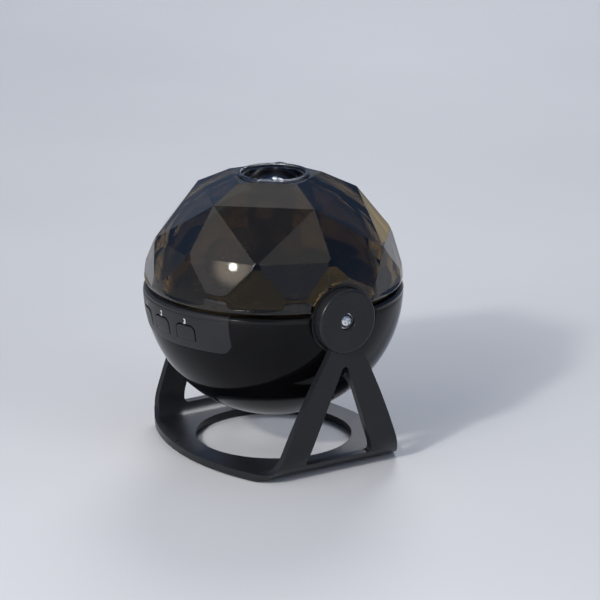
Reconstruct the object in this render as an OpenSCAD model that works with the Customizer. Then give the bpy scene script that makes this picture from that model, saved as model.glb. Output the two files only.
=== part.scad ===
// Star projector: a faceted ball that tilts in an A-legged cradle stand.
// Origin: middle of the stand, on the surface that it stands on. +Z is up.
// The control panel faces -Y and the tilt axis runs along X.

/* [Ball] */
// Outer radius of the ball
ball_r = 65; // [64:0.5:68]
// Wall of the lower shell
shell_wall = 2.6; // [2.4:0.1:2.8]
// Depth of the flats on both sides of the ball
side_flat = 3.3; // [3:0.1:3.6]
// Height of the ball's centre above the tilt axis
pivot_drop = 2; // [0:0.25:3]

/* [Seam] */
// Depth of the shell's rim below the ball's centre
rim_drop = 1.2; // [0.8:0.1:1.6]
// Height of the trim ring's top ledge above the ball's centre
ledge_h = 1.3; // [1:0.1:1.8]
// Bevel on the trim ring's outer edge
trim_bevel = 1; // [0.6:0.1:1.2]
// Depth of the ring's lip inside the shell
lip_h = 2; // [1.5:0.1:2.4]

/* [Dome] */
// Distance of the dome's round inside from the ball's surface
dome_wall = 5.6; // [5.2:0.1:6]
// Depth of the centre of the dome's round inside below the ball's centre
dome_in_drop = 4; // [3.5:0.1:5]
// Radius that rounds the dome's lower edge
dome_edge_r = 6; // [5:0.5:7]
// Width of the ledge left bare outside the dome
bare_ledge = 3.2; // [2.8:0.1:3.4]
// Turn of the facets about the vertical axis
facet_turn = 85.7; // [0:0.1:359.9]
// Polar angle of the corners of the flat top
top_polar = 23.1; // [22.5:0.1:24]
// Polar angle of the five upper corners
upper_polar = 40.7; // [39:0.1:42]
// Polar angle of the ten middle corners
middle_polar = 65.9; // [64:0.1:67]
// Polar angle of the ten lower corners
lower_polar = 84.8; // [83:0.1:86]
// Depth of the flat top's corners below the ball's surface
top_inset = 2.9; // [2.5:0.1:3]

/* [Lens well] */
// Gap between the lens barrel and the rim around it
barrel_gap = 0.1; // [0.05:0.05:0.4]
// Wall of the rim that lines the opening
well_rim_t = 1.2; // [1:0.1:1.4]
// Width of the rim's lip on the dome's top
well_lip = 0.9; // [0.6:0.1:1.2]
// Height of the rim's lip
well_lip_h = 1.1; // [0.8:0.1:1.5]
// Depth of the rim in the opening
well_rim_h = 3.3; // [2.5:0.1:4]

/* [Stand] */
// Thickness of the bent band
band_t = 3.6; // [3.2:0.1:4]
// Height of the foot pads under the band
foot_h = 0.8; // [0.5:0.1:1.5]
// Space between the ball and the base plate
ball_to_base = 13; // [10:0.5:20]
// Outer radius of the bends between base and arms
bend_r = 16; // [12:0.5:17]
// Outward lean of the arms
arm_lean = 5; // [4:0.5:8]
// Depth of the arm's upper bend below the tilt axis
knee_drop = 20; // [18:0.5:22]
// Gap between an arm and the flat on the ball
arm_gap = 0.3; // [0.3:0.1:0.6]
// Half of the base's depth at its middle
base_half_y = 51.8; // [50:0.2:54]
// Radius of the base's bowed front and rear edges
base_bow_r = 115; // [105:1:130]
// Radius of the round hole in the base
base_hole_r = 39.6; // [36:0.2:40]
// Radius of the bowed outer edges of the legs
leg_bow_r = 400; // [300:5:600]
// Half of the arm's width at its neck
neck_half = 8.1; // [7:0.1:9]
// Depth of the neck below the tilt axis
neck_drop = 13.6; // [12:0.1:15]
// Half of the arm's width at the base's top
leg_foot_half = 36.6; // [35:0.1:38]
// Radius that blends a leg's outer edge into the base
leg_fillet = 6.5; // [4:0.5:9]
// Half of the width of the arm's opening at its foot
opening_half = 20; // [18:0.5:21]
// Depth of the opening's tip below the tilt axis
opening_drop = 23.4; // [22:0.2:28]
// Height of the opening's foot above the base's top
opening_rise = 3.6; // [2:0.1:4]
// Radius of the opening's corners
opening_corner = 1.8; // [1.5:0.1:3]
// Radius of a foot pad
foot_r = 5; // [4:0.5:5.5]
// Depth of a foot pad's seat in the base
foot_seat = 0.4; // [0.2:0.1:0.6]

/* [Side bosses] */
// Radius of the round side bosses
boss_r = 16; // [15:0.25:16.5]
// Thickness of the boss covers outside the arms
cover_t = 2; // [1.8:0.1:2.6]
// Radius of the cover's rounded edge
cover_edge = 1.6; // [1:0.1:1.7]
// Radius of the cover's tube through the arm
cover_tube_r = 6; // [5.6:0.1:7]
// Depth of the socket that takes a boss, from the flat
cup_depth = 12.4; // [11:0.2:13]
// Wall of the socket
cup_wall = 1.1; // [1:0.1:1.4]
// Floor of the socket
cup_floor = 2.4; // [2:0.1:3]
// Running gap between a boss and its socket
cup_gap = 0.3; // [0.3:0.05:0.5]
// Wall of a hollow boss
boss_wall = 2; // [1.6:0.1:2.4]

/* [Pivot screws] */
// Radius of the pivot screw
pivot_screw_r = 2; // [1.8:0.1:2.2]
// Radius of the pivot screw's head
pivot_head_r = 3.5; // [3.3:0.1:3.7]
// Height of the pivot screw's head
pivot_head_h = 1.7; // [1.4:0.1:1.9]
// Radius of the recess around the head
recess_r = 4.25; // [4:0.05:4.5]
// Thickness of the washer under the head
washer_t = 0.6; // [0.4:0.1:0.8]
// Depth of the recess's floor below the cover's face
recess_depth = 2.8; // [2.6:0.1:3.2]
// Radial clearance of the pivot screw in the boss
pivot_play = 0.06; // [0.04:0.01:0.08]
// Thickness of the friction washer
friction_t = 0.8; // [0.6:0.1:1.2]
// Radius of the brass insert
insert_r = 3.2; // [3:0.1:3.5]
// Length of the brass insert
insert_len = 7; // [6:0.5:8]

/* [Control panel] */
// Half of the panel's width
panel_half = 40.2; // [37:0.2:41]
// Height of the panel
panel_h = 16.8; // [16.2:0.1:18]
// Radius of the panel's lower corners
panel_corner = 6; // [4:0.5:8]
// Thickness of the panel
panel_t = 1.55; // [1.4:0.05:1.6]
// How far the panel stands proud of the ball
panel_proud = 0.2; // [0.1:0.05:0.4]

/* [Press tabs] */
// Width of a press tab
tab_w = 11.6; // [10:0.2:12]
// Height of a press tab
tab_h = 7.4; // [7:0.1:7.8]
// Angle between neighbouring tabs
tab_pitch = 16; // [15:0.1:16.5]
// Depth of a tab's lower edge below the ball's centre
tab_foot = 13.6; // [13.2:0.1:14]
// Radius of a tab's upper corners
tab_corner = 2.6; // [2:0.1:3]
// Slot around a tab's top and sides
tab_slot = 0.6; // [0.4:0.05:0.8]
// Slot under a tab's hinge edge
hinge_slot = 0.15; // [0.12:0.01:0.2]
// Outward tilt of a tab at rest
tab_tilt = 2.5; // [1:0.5:3]
// Height of a tab's pip above the hinge edge
pip_h = 4.6; // [4:0.1:5]
// Radius of the pip
pip_r = 0.8; // [0.6:0.1:1]

/* [Optics] */
// Inner radius of the lens barrel
barrel_in_r = 14.7; // [14.4:0.1:14.8]
// Wall of the lens barrel
barrel_wall = 1.2; // [1:0.1:1.2]
// Height of the lens barrel's top below the dome's flat top
barrel_drop = 0.4; // [0.2:0.1:1]
// Depth of the projection lens below the dome's flat top
lens_depth = 13; // [11:0.5:16]
// Thickness of the projection lens at its edge
lens_edge = 2; // [1.5:0.1:2.5]
// Radius of the projection lens's curved faces
lens_curve_r = 36; // [32:1:45]
// Outer radius of the lamp tube
lamp_tube_r = 11.94; // [11.5:0.02:12.2]
// Wall of the lamp tube
lamp_tube_wall = 1.4; // [1.2:0.1:1.6]
// Height of the lamp tube
lamp_tube_h = 7.4; // [7:0.1:8]
// Radial running gap of the film carrier on the lamp tube
carrier_play = 0.06; // [0.04:0.01:0.08]
// Gear module of the film carrier and pinion
gear_module = 1; // [0.96:0.01:1]
// Teeth of the film carrier
carrier_teeth = 38; // [36:1:38]
// Teeth of the motor pinion
pinion_teeth = 12; // [11:1:13]
// Height of the film carrier's teeth
carrier_h = 4; // [3:0.5:4]
// Thickness of the star film disc
film_t = 0.6; // [0.4:0.1:0.8]
// Pinholes in the star film disc
film_holes = 26; // [12:1:40]
// Radius of a pinhole
pinhole_r = 0.4; // [0.3:0.05:0.5]

/* [Electronics] */
// Thickness of the circuit boards
board_t = 1.6; // [1:0.1:1.6]
// Half of the main board's width
main_board_half = 14; // [12:0.5:14]
// Length of the main board
main_board_len = 76; // [72:0.5:76]
// Height of the main board's underside below the ball's centre
main_board_drop = 22; // [21.5:0.5:23]
// Radius of the battery cell
cell_r = 9.2; // [9:0.1:9.3]
// Length of the battery cell
cell_len = 65; // [60:0.5:66]
// Depth of the battery cell's axis below the ball's centre
cell_drop = 36.8; // [36:0.2:38]
// Radius of the film motor
motor_r = 7.5; // [6:0.25:7.5]
// Height of the film motor
motor_h = 11; // [9:0.5:12]
// Radius of the heat sink
sink_r = 15.5; // [14:0.5:15.5]
// Thickness of the deck
deck_t = 1.8; // [1.6:0.1:2]
// Gap of a screw in its hole
screw_gap = 0.05; // [0.03:0.01:0.08]
// Lights on the ambient ring
ambient_count = 12; // [8:1:16]

/* [Hidden] */
$fn = 64;

satin_charcoal = "#2a2b2f";
gloss_black = "#0b0b0d";
panel_grey = "#303034";
smoked_amber = [0.36, 0.29, 0.18, 0.55];
inner_black = "#18181a";
zinc = "#c4c8cc";
brass = "#b9924a";
board_green = "#1f5a3a";
chip_black = "#161618";
clear_glass = [0.8, 0.88, 0.92, 0.5];
lead_red = "#a32a22";

left = -1;
right = 1;
sides = [left, right];
eps = 0.02;
far = 200;

// Heights in the part's frame
base_top = foot_h + band_t;
ball_z = base_top + ball_to_base + ball_r;
pivot_z = ball_z - pivot_drop;

// Ball, measured from its centre
shell_in_r = ball_r - shell_wall;
flat_x = ball_r - side_flat;
dome_in_r = ball_r - dome_wall;
trim_in_r = dome_in_r - 0.4;
dome_foot_r = ball_r - bare_ledge;
deck_top = -rim_drop;
deck_r = shell_in_r - 2.1;
deck_bottom = deck_top - deck_t;

// Dome facets, measured from the ball's centre
ring_polar = [top_polar, upper_polar, middle_polar, lower_polar];
upper_inset = 0.5;
middle_rise = 0.5;
lower_rise = 1.8;
ring_dist = [ball_r - top_inset, ball_r - upper_inset, ball_r + middle_rise, ball_r + lower_rise];
dome_top = ring_dist[0] * cos(top_polar);
skirt_drop = 8;
skirt_flare = 1.15;

// Arms and side bosses
arm_in_x = flat_x + arm_gap;
arm_out_x = arm_in_x + band_t;
cover_x = arm_out_x + cover_t;
lean_dx = tan(arm_lean);
bend_x = arm_out_x - bend_r * cos(arm_lean)
    - lean_dx * (pivot_z - knee_drop - foot_h - bend_r + bend_r * sin(arm_lean));
bend_z = foot_h + bend_r;
cup_in_r = boss_r + cup_gap;
cup_r = cup_in_r + cup_wall;
cup_cut_r = cup_r + 0.15;
cup_floor_x = flat_x - cup_depth;
cup_back_x = cup_floor_x - cup_floor;
spacer_back_x = cup_floor_x + friction_t;
recess_x = cover_x - recess_depth;
head_x = recess_x + washer_t;
insert_x = cup_floor_x - 0.8;
insert_end_x = insert_x - insert_len;
screw_end_x = insert_end_x - 0.5;
cup_boss_r = insert_r + 2.3;
ear_half = 14;
ear_low = cup_in_r + 10;
ear_screw_y = 9.5;
ear_screw_z = cup_in_r + 6;
ear_boss_r = 3.2;
small_screw_r = 1.3;
small_head_r = 2.4;
small_head_h = 1.6;

// Control panel and press tabs
panel_out_r = ball_r + panel_proud;
panel_in_r = panel_out_r - panel_t;
panel_seat_r = panel_in_r - 0.05;
panel_gap = 0.1;
tab_angles = [-tab_pitch, 0, tab_pitch];
tab_z = -tab_foot;
hinge_r = sqrt(panel_in_r * panel_in_r - tab_foot * tab_foot);
pip_z = tab_z + pip_h;
switch_size = 6;
switch_h = 3.2;
plunger_r = 1.7;
plunger_play = 0.06;
plunger_out = 1;
plunger_in = 0.9;
pip_gap = 0.15;
board_face = shell_in_r - 8.4;
switch_face = board_face + switch_h;
plunger_face = switch_face + plunger_out;
pip_centre = plunger_face + pip_gap + pip_r;
button_board_half = 22;
button_board_h = 12;
button_screw_x = 8.4;

// Optics, measured from the ball's centre
barrel_r = barrel_in_r + barrel_wall;
barrel_flange = 5;
barrel_flange_t = 1.6;
well_r = barrel_r + barrel_gap + well_rim_t;
roof_z = 10;
roof_t = 2;
barrel_foot = roof_z + roof_t;
barrel_top = dome_top - barrel_drop;
lens_z = dome_top - lens_depth;
lens_r = barrel_in_r - 0.1;
lens_seat_r = barrel_in_r - 1.3;
housing_in_r = gear_module * (carrier_teeth / 2 + 4);
housing_wall = 2;
housing_r = housing_in_r + housing_wall;
housing_screw_r = housing_r + 2.6;
barrel_screw_r = barrel_r + 2.6;
ambient_half = 4;
ambient_in_r = housing_screw_r + 3.6;
ambient_r = ambient_in_r + ambient_half;
ambient_turn = 60;
tube_flange_r = lamp_tube_r + 2.4;
tube_flange_t = 1.4;
tube_top = deck_top + lamp_tube_h;
tube_in_r = lamp_tube_r - lamp_tube_wall;
carrier_bore_r = lamp_tube_r + carrier_play;
carrier_hub_r = carrier_bore_r + 2.8;
carrier_foot = deck_top + tube_flange_t + 0.3;
carrier_top = tube_top + 0.3;
teeth_z = carrier_foot + 1;
film_r = carrier_hub_r - 0.6;
clip_t = 1;
gear_gap = gear_module * (carrier_teeth + pinion_teeth) / 2;
pinion_turn = -90 + 180 / pinion_teeth;
backlash = 0.16;
addendum = 0.8;
dedendum = 1.15;
pressure_angle = 20;
shaft_r = 1;
sink_top = deck_bottom - 3;
sink_plate = 2.5;
sink_h = 10;
fin_count = 7;
fin_t = 1.2;
led_board_r = 9.5;
sink_screw_r = 12.6;
sink_head_room = 1.9;

// Electronics, measured from the ball's centre
board_top = board_t - main_board_drop;
socket_w = 9;
socket_h = 3.2;
socket_len = 9;
socket_proud = 3.6;
socket_z = board_top + socket_h / 2;
board_front = -20;
board_rear = board_front + main_board_len;
socket_end = board_rear + socket_proud;
pillar_r = 2.8;
pillar_y = [board_front + 4, board_rear - 12];
pillar_x = main_board_half - 3;
deck_pillar = deck_r * 0.6;
deck_pillar_r = 3.4;
holder_half_y = cell_r + 2;
holder_half_x = cell_len / 2 + 3;
holder_bottom = -cell_drop - cell_r - 1.4;
holder_top = -cell_drop + 3;
rib_x = 18;
contact_x = cell_len / 2 + 0.8;
contact_top = cell_r + 0.6 - cell_drop;
lead_r = 0.7;

function ring_point(i, angle) = [
    ring_dist[i] * sin(ring_polar[i]) * cos(angle),
    ring_dist[i] * sin(ring_polar[i]) * sin(angle),
    ring_dist[i] * cos(ring_polar[i])];
function below(p) = [p[0] * skirt_flare, p[1] * skirt_flare, -skirt_drop];

// An involute flank, from its own base circle outwards
function involute_turn(base, r) = sqrt(r * r / (base * base) - 1) * 180 / PI - acos(base / r);
function tooth_half(teeth, r) =
    let (pitch = gear_module * teeth / 2, base = pitch * cos(pressure_angle))
    90 / teeth - backlash / 2 / pitch * 180 / PI
    + involute_turn(base, pitch) - involute_turn(base, max(r, base));
function polar(r, a) = [r * cos(a), r * sin(a)];
function gear_points(teeth, steps = 3) =
    let (
        pitch = gear_module * teeth / 2,
        root = pitch - dedendum * gear_module,
        tip = pitch + addendum * gear_module,
        low = max(root + 0.05, pitch * cos(pressure_angle)))
    [for (i = [0:teeth - 1]) let (a = 360 * i / teeth) each concat(
        [polar(root, a - tooth_half(teeth, low) - 1)],
        [for (k = [0:steps]) let (r = low + (tip - low) * k / steps) polar(r, a - tooth_half(teeth, r))],
        [for (k = [steps:-1:0]) let (r = low + (tip - low) * k / steps) polar(r, a + tooth_half(teeth, r))],
        [polar(root, a + tooth_half(teeth, low) + 1)])];

module at_ball() {
    translate([0, 0, ball_z]) children();
}
module at_pivot() {
    translate([0, 0, pivot_z]) children();
}
// Turns a profile about the tilt axis: its radius is x and its place along X is y
module about_tilt_axis(side) {
    rotate([0, 90 * side, 0]) rotate_extrude($fn = 96) children();
}
module tube(outer, inner, h) {
    difference() {
        cylinder(r = outer, h = h);
        translate([0, 0, -1]) cylinder(r = inner, h = h + 2);
    }
}
module rod(p, q, r) {
    d = q - p;
    len = norm(d);
    translate(p) rotate([0, acos(d[2] / len), atan2(d[1], d[0])]) cylinder(r = r, h = len, $fn = 24);
}
module lead(points, r) {
    for (i = [0:len(points) - 2]) rod(points[i], points[i + 1], r);
    for (i = [1:len(points) - 2]) translate(points[i]) sphere(r = r * 1.1, $fn = 24);
}
// A screw along -Z, with the underside of its head at the origin
module small_screw(len, r = small_screw_r, head_r = small_head_r, head_h = small_head_h) {
    translate([0, 0, -len]) cylinder(r = r, h = len);
    difference() {
        cylinder(r = head_r, h = head_h);
        for (a = [0, 90]) rotate([0, 0, a])
            translate([-head_r * 0.6, -0.25, head_h - 0.8]) cube([head_r * 1.2, 0.5, 1]);
    }
}
// Polygon of given corner centres, widened by r with round corners
module rounded_polygon(c, r) {
    n = len(c);
    for (p = c) translate(p) circle(r = r);
    polygon([for (i = [0:n - 1])
        let (d = c[(i + 1) % n] - c[i], s = [d[1], -d[0]] / norm(d) * r)
        each [c[i] + s, c[(i + 1) % n] + s]]);
}

// Stand

module band_half() {
    translate([0, foot_h]) square([bend_x, band_t]);
    intersection() {
        translate([bend_x, bend_z]) difference() {
            circle(r = bend_r);
            circle(r = bend_r - band_t);
        }
        polygon([[bend_x, bend_z], [bend_x, 0], [bend_x + far, 0],
            [bend_x + far * cos(arm_lean), bend_z - far * sin(arm_lean)]]);
    }
    arm_z = bend_z - bend_r * sin(arm_lean);
    inner_r = bend_r - band_t;
    inner_x = bend_x + inner_r * cos(arm_lean);
    inner_z = bend_z - inner_r * sin(arm_lean);
    polygon([
        [bend_x + bend_r * cos(arm_lean), arm_z],
        [arm_out_x, pivot_z - knee_drop],
        [arm_out_x, pivot_z + boss_r + 1],
        [arm_in_x, pivot_z + boss_r + 1],
        [arm_in_x, inner_z + (arm_in_x - inner_x) / lean_dx],
        [inner_x, inner_z]]);
}
module arm_outline() {
    neck = [neck_half, pivot_z - neck_drop];
    foot = [leg_foot_half, base_top];
    chord = norm(foot - neck);
    along = (foot - neck) / chord;
    centre = (neck + foot) / 2 + sqrt(leg_bow_r * leg_bow_r - chord * chord / 4) * [along[1], -along[0]];
    // The fillet's centre, and the angle at which its arc meets the leg's bowed edge
    fillet_z = base_top + leg_fillet - centre[1];
    fillet = centre + [sqrt((leg_bow_r + leg_fillet) * (leg_bow_r + leg_fillet) - fillet_z * fillet_z), fillet_z];
    reach = asin(fillet_z / (leg_bow_r + leg_fillet));
    low = centre[1] + leg_bow_r * sin(reach);
    steps = 12;
    arc = [for (i = [0:steps - 1]) let (a = -90 - (90 - reach) * i / steps) fillet + polar(leg_fillet, a)];
    leg = [for (i = [0:steps]) let (z = low + (pivot_z - low) * i / steps)
        [centre[0] + sqrt(leg_bow_r * leg_bow_r - (z - centre[1]) * (z - centre[1])), z]];
    edge = concat([[far / 2, -1], [far / 2, base_top]], arc, leg);
    last = len(edge) - 1;
    polygon(concat(edge, [for (i = [last:-1:0]) [-edge[i][0], edge[i][1]]]));
    translate([0, pivot_z]) circle(r = boss_r, $fn = 96);
}
module arm_opening() {
    tip = pivot_z - opening_drop;
    foot = base_top + opening_rise;
    tip_angle = atan(opening_half / (tip - foot));
    corner_y = opening_half - opening_corner * (1 + sin(tip_angle)) / cos(tip_angle);
    rounded_polygon([
        [0, tip - opening_corner],
        [-corner_y, foot + opening_corner],
        [corner_y, foot + opening_corner]],
        opening_corner);
}
module base_plan() {
    bow_y = base_bow_r - base_half_y;
    intersection() {
        translate([0, bow_y]) circle(r = base_bow_r, $fn = 256);
        translate([0, -bow_y]) circle(r = base_bow_r, $fn = 256);
    }
}
module foot_places() {
    for (x = sides, y = sides) translate([x * (base_hole_r - 1), y * (base_hole_r - 6), 0]) children();
}
module stand_frame() {
    color(satin_charcoal) difference() {
        intersection() {
            rotate([90, 0, 0]) linear_extrude(height = far, center = true) {
                band_half();
                mirror([1, 0]) band_half();
            }
            rotate([90, 0, 90]) linear_extrude(height = far, center = true) arm_outline();
            linear_extrude(height = far) base_plan();
        }
        rotate([90, 0, 90]) linear_extrude(height = far, center = true) arm_opening();
        cylinder(r = base_hole_r, h = 3 * base_top, center = true, $fn = 128);
        at_pivot() rotate([0, 90, 0]) cylinder(r = cover_tube_r + 0.1, h = far, center = true);
        foot_places() cylinder(r = foot_r + 0.1, h = 2 * (foot_h + foot_seat), center = true);
    }
}
module foot_pads() {
    color(inner_black) foot_places() cylinder(r = foot_r, h = foot_h + foot_seat);
}
module pivot_cover(side) {
    r = boss_r - cover_edge;
    x = cover_x - cover_edge;
    color(satin_charcoal) at_pivot() difference() {
        about_tilt_axis(side) {
            translate([0, arm_out_x]) square([boss_r, cover_t - cover_edge]);
            translate([0, arm_out_x]) square([r, cover_t]);
            intersection() {
                translate([r, x]) circle(r = cover_edge);
                translate([0, x - eps]) square([boss_r, cover_edge + eps]);
            }
            translate([0, arm_in_x]) square([cover_tube_r, band_t + eps]);
        }
        about_tilt_axis(side) {
            translate([0, recess_x]) square([recess_r, far]);
            square([pivot_screw_r + pivot_play, far]);
        }
    }
}
module pivot_spacer(side) {
    tube_r = 5;
    color(satin_charcoal) at_pivot() {
        difference() {
            about_tilt_axis(side) translate([0, spacer_back_x]) square([boss_r, arm_in_x - spacer_back_x]);
            about_tilt_axis(side) {
                square([pivot_screw_r + pivot_play, far]);
                translate([tube_r, 0]) square([boss_r - boss_wall - tube_r, arm_in_x - boss_wall]);
            }
        }
        for (a = [45:90:315]) rotate([a, 0, 0])
            translate([side > 0 ? spacer_back_x + 2 : -arm_in_x + boss_wall, tube_r - eps, -0.8])
                cube([arm_in_x - boss_wall - spacer_back_x - 2, boss_r - boss_wall - tube_r + 2 * eps, 1.6]);
    }
}
module left_pivot_cover() {
    pivot_cover(left);
}
module right_pivot_cover() {
    pivot_cover(right);
}
module left_pivot_spacer() {
    pivot_spacer(left);
}
module right_pivot_spacer() {
    pivot_spacer(right);
}
module pivot_washers() {
    color(zinc) at_pivot() for (s = sides) about_tilt_axis(s)
        translate([pivot_screw_r + 0.1, recess_x]) square([recess_r - 0.3 - pivot_screw_r - 0.1, washer_t]);
}

// Pivot parts that turn with the ball

module pivot_screws() {
    dome_r = (pivot_head_r * pivot_head_r + pivot_head_h * pivot_head_h) / (2 * pivot_head_h);
    cross_w = 0.9;
    cross_len = 3.8;
    color(zinc) at_pivot() for (s = sides) difference() {
        about_tilt_axis(s) {
            intersection() {
                translate([0, head_x + pivot_head_h - dome_r]) circle(r = dome_r);
                translate([0, head_x]) square([pivot_head_r, pivot_head_h]);
            }
            translate([0, screw_end_x]) square([pivot_screw_r, head_x - screw_end_x + eps]);
        }
        for (a = [20, 110]) rotate([a, 0, 0])
            translate([s * (head_x + pivot_head_h), 0, 0]) cube([2.4, cross_w, cross_len], center = true);
    }
}
module hub_cup(side) {
    color(inner_black) at_pivot() difference() {
        union() {
            about_tilt_axis(side) {
                translate([0, cup_back_x]) square([cup_r, flat_x - cup_back_x]);
                translate([0, insert_end_x]) square([cup_boss_r, cup_back_x - insert_end_x + eps]);
            }
            translate([side > 0 ? cup_back_x : -cup_floor_x, -ear_half, -ear_low])
                cube([cup_floor, 2 * ear_half, ear_low]);
        }
        about_tilt_axis(side) {
            translate([0, cup_floor_x]) square([cup_in_r, far]);
            square([pivot_screw_r + 0.1, far]);
            square([insert_r + screw_gap, insert_x]);
        }
        for (y = sides) translate([side * cup_back_x, y * ear_screw_y, -ear_screw_z]) rotate([0, 90, 0])
            cylinder(r = small_screw_r + screw_gap, h = 4 * cup_floor, center = true);
    }
}
module left_hub_cup() {
    hub_cup(left);
}
module right_hub_cup() {
    hub_cup(right);
}
module hub_cup_screws() {
    color(zinc) at_pivot() for (s = sides, y = sides)
        translate([s * cup_back_x, y * ear_screw_y, -ear_screw_z]) rotate([0, -90 * s, 0]) small_screw(7);
}
module pivot_inserts() {
    color(brass) at_pivot() for (s = sides) about_tilt_axis(s)
        translate([pivot_screw_r + screw_gap, insert_end_x])
            square([insert_r - pivot_screw_r - screw_gap, insert_len]);
}
module friction_washers() {
    color(brass) at_pivot() for (s = sides) about_tilt_axis(s)
        translate([pivot_screw_r + 0.1, cup_floor_x]) square([5, friction_t]);
}

// Ball casing

module side_cuts() {
    for (s = sides) translate([s * (flat_x + far / 2), 0, 0]) cube([far, far, far], center = true);
    translate([0, 0, -pivot_drop]) for (s = sides)
        translate([s * (cup_back_x - 4), 0, 0]) rotate([0, 90 * s, 0])
            cylinder(r = cup_cut_r, h = far, $fn = 96);
}
module panel_outline(grow = 0, rise = 0) {
    half = panel_half + grow;
    low = -rim_drop - panel_h - grow;
    corner = panel_corner + grow;
    translate([-half, low + corner]) square([2 * half, rise - rim_drop - low - corner]);
    translate([-half + corner, low]) square([2 * (half - corner), corner + eps]);
    for (s = sides) translate([s * (half - corner), low + corner]) circle(r = corner);
}
module tab_outline(grow = 0, under = 0) {
    half = tab_w / 2 + grow;
    top = tab_z + tab_h + grow;
    corner = tab_corner + grow;
    translate([-half, tab_z - under]) square([2 * half, tab_h + grow - corner + under]);
    translate([corner - half, tab_z]) square([2 * (half - corner), tab_h + grow]);
    for (s = sides) translate([s * (half - corner), top - corner]) circle(r = corner);
}
// Extrudes a front view outline away from the middle of the ball
module forward() {
    rotate([90, 0, 0]) linear_extrude(height = far) children();
}
module tab_openings(grow, under) {
    for (a = tab_angles) rotate([0, 0, a]) forward() tab_outline(grow, under);
}
module pillars() {
    inside = shell_in_r + 0.6;
    intersection() {
        sphere(r = inside, $fn = 128);
        difference() {
            union() {
                for (x = sides, y = sides) translate([x * deck_pillar, y * deck_pillar, -ball_r])
                    cylinder(r = deck_pillar_r, h = ball_r + deck_bottom);
                for (x = sides, y = pillar_y) translate([x * pillar_x, y, -ball_r])
                    cylinder(r = pillar_r, h = ball_r - main_board_drop);
                for (x = sides) translate([x * rib_x - 1.5, -10, -ball_r])
                    cube([3, 20, ball_r + holder_bottom]);
                for (x = sides) translate([x * button_screw_x, -board_face, tab_z + pip_h]) rotate([90, 0, 0])
                    cylinder(r = 1.9, h = 20);
                for (s = sides, y = sides)
                    translate([s * cup_floor_x, y * ear_screw_y, -pivot_drop - ear_screw_z])
                        rotate([0, 90 * s, 0]) cylinder(r = ear_boss_r, h = 20);
            }
            for (x = sides, y = sides) translate([x * deck_pillar, y * deck_pillar, deck_bottom - 8])
                cylinder(r = small_screw_r + screw_gap, h = 10);
            for (x = sides, y = pillar_y) translate([x * pillar_x, y, -main_board_drop - 6])
                cylinder(r = small_screw_r + screw_gap, h = 8);
            for (x = sides) translate([x * button_screw_x, -board_face + 1, tab_z + pip_h]) rotate([90, 0, 0])
                cylinder(r = 0.8 + screw_gap, h = 5.5);
            for (s = sides, y = sides)
                translate([s * (cup_floor_x - 1), y * ear_screw_y, -pivot_drop - ear_screw_z])
                    rotate([0, 90 * s, 0]) cylinder(r = small_screw_r + screw_gap, h = 6.5);
        }
    }
}
module socket_opening() {
    translate([0, socket_end - 5, socket_z]) rotate([-90, 0, 0])
        linear_extrude(height = 20) {
            half = socket_w / 2 + 0.2 - socket_h / 2;
            square([2 * half, socket_h + 0.4], center = true);
            for (s = sides) translate([s * half, 0]) circle(r = socket_h / 2 + 0.2);
        }
}
module lower_shell() {
    color(gloss_black) at_ball() {
        difference() {
            sphere(r = ball_r, $fn = 128);
            sphere(r = shell_in_r, $fn = 128);
            translate([0, 0, far / 2 - rim_drop]) cube([far, far, far], center = true);
            side_cuts();
            socket_opening();
            difference() {
                forward() panel_outline(panel_gap, 1);
                sphere(r = panel_seat_r, $fn = 128);
            }
            tab_openings(tab_slot, tab_slot);
        }
        pillars();
    }
}
module control_panel() {
    color(panel_grey) at_ball() difference() {
        intersection() {
            sphere(r = panel_out_r, $fn = 128);
            forward() panel_outline();
        }
        sphere(r = panel_in_r, $fn = 128);
        tab_openings(tab_slot, hinge_slot);
    }
}
module trim_bands() {
    tongue_r = dome_foot_r - 1;
    color(panel_grey) at_ball() difference() {
        rotate_extrude($fn = 128) difference() {
            polygon([
                [trim_in_r, -rim_drop], [trim_in_r, ledge_h], [ball_r - trim_bevel, ledge_h],
                [ball_r, ledge_h - trim_bevel], [ball_r, -rim_drop],
                [shell_in_r - 0.2, -rim_drop], [shell_in_r - 0.2, -rim_drop - lip_h],
                [deck_r + 0.3, -rim_drop - lip_h], [deck_r + 0.3, -rim_drop]]);
            translate([tongue_r - 0.9, ledge_h - 1.6]) square([1, 2]);
        }
        side_cuts();
    }
}
module dome_facets() {
    five = [for (i = [0:4]) facet_turn - 90 + 72 * i];
    ten = [for (i = [0:9]) facet_turn - 90 + 36 * i];
    lower = [for (a = ten) ring_point(3, a + 18)];
    points = concat([for (a = five) ring_point(0, a)], [for (a = five) ring_point(1, a)],
        [for (a = ten) ring_point(2, a)], lower, [for (p = lower) below(p)]);
    top = 0;
    upper = 5;
    middle = 10;
    low = 20;
    foot = 30;
    faces = concat(
        [[for (i = [4:-1:0]) top + i]],
        [for (i = [0:4]) let (j = (i + 1) % 5) [top + i, top + j, upper + j, upper + i]],
        [for (i = [0:4]) let (j = (i + 1) % 5, m = 2 * i + 1) each [
            [upper + i, upper + j, middle + m],
            [upper + i, middle + m, middle + 2 * i],
            [upper + j, middle + 2 * j, middle + m]]],
        [for (i = [0:9]) let (j = (i + 1) % 10) each [
            [middle + i, middle + j, low + i],
            [middle + j, low + j, low + i],
            [low + i, low + j, foot + j, foot + i]]],
        [[for (i = [0:9]) foot + i]]);
    polyhedron(points = points, faces = faces);
}
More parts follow.
